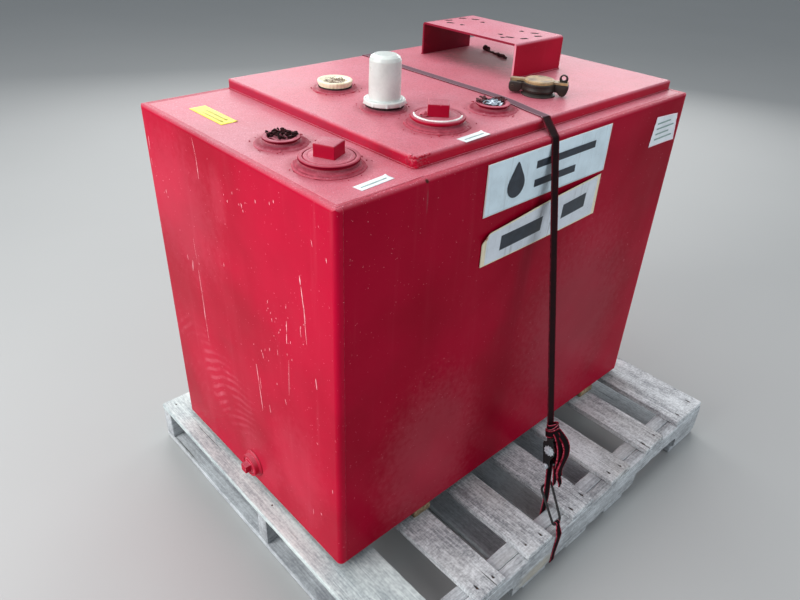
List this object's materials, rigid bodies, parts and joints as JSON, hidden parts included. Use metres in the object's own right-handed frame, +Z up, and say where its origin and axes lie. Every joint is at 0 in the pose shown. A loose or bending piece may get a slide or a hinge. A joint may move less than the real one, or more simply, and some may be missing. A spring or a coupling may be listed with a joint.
{
  "type": "skid-mounted fuel tank",
  "caption": "Double-walled rectangular steel oil tank with a raised inner top, screwed ports, a pump bracket and a hinged fill cap, strapped to a notched timber skid.",
  "frame": {"origin": "centre of the skid's footprint on the ground", "axes": "+X along the tank, the drain at the -X end; +Y away from the face that carries the signs; +Z up"},
  "size_m": [1.219, 1.0308, 1.125],
  "materials": {
    "red_paint": "glossy red paint, dusty",
    "grey_wood": "weathered grey softwood",
    "tan_wood": "sawn tan softwood",
    "bronze": "dark brown cast metal",
    "lid_metal": "dull gold lid",
    "cream_plastic": "dirty cream plastic",
    "white_plastic": "translucent white plastic",
    "sign_board": "pale blue-white printed sheet",
    "webbing": "black polyester webbing",
    "zinc_steel": "zinc-plated steel",
    "black_steel": "black painted steel"
  },
  "bodies": {
    "tank": {"deck_board_1": "grey_wood", "deck_board_2": "grey_wood", "deck_board_3": "grey_wood", "deck_board_4": "grey_wood", "deck_board_5": "grey_wood", "deck_board_6": "grey_wood", "deck_board_7": "grey_wood", "stringer_front_companion": "grey_wood", "stringer_front": "grey_wood", "stringer_middle": "grey_wood", "stringer_back": "grey_wood", "bottom_board_1": "grey_wood", "bottom_board_2": "grey_wood", "bottom_board_3": "grey_wood", "bottom_board_4": "grey_wood", "bottom_board_5": "grey_wood", "bearer_left": "tan_wood", "bearer_right": "tan_wood", "tank_left_end": "red_paint", "tank_right_end": "red_paint", "tank_front_wall": "red_paint", "tank_back_wall": "red_paint", "tank_floor": "red_paint", "tank_deck": "red_paint", "inner_tank_top": "red_paint", "deck_vent_collar": "red_paint", "spare_collar": "red_paint", "interstitial_vent_ring": "red_paint", "interstitial_vent_plug": "red_paint", "emergency_vent_ring": "red_paint", "emergency_vent_plug": "red_paint", "return_collar": "red_paint", "gauge_collar": "red_paint", "pump_bracket": "red_paint", "drain_collar": "red_paint", "drain_plug": "red_paint", "return_plug": "cream_plastic", "gauge_cap": "white_plastic", "fill_collar": "black_steel", "fill_cap_body": "bronze", "fill_cap_pin": "bronze", "sign_upper": "sign_board", "sign_lower": "sign_board", "strap_web": "webbing", "strap_tail": "webbing", "strap_loose_end": "webbing", "ratchet_frame": "black_steel", "ratchet_spool": "zinc_steel", "ratchet_handle": "black_steel", "strap_hook_front": "zinc_steel", "strap_hook_back": "zinc_steel"},
    "lid": {"fill_cap_lid": "lid_metal"}
  },
  "joints": [
    {"name": "fill_lid_hinge", "type": "hinge", "parent": "tank", "child": "lid", "pos_m": [0.11559, -0.038, 1.034], "axis": [-0.862, -0.507, 0], "range_deg": [0, 110]}
  ]
}
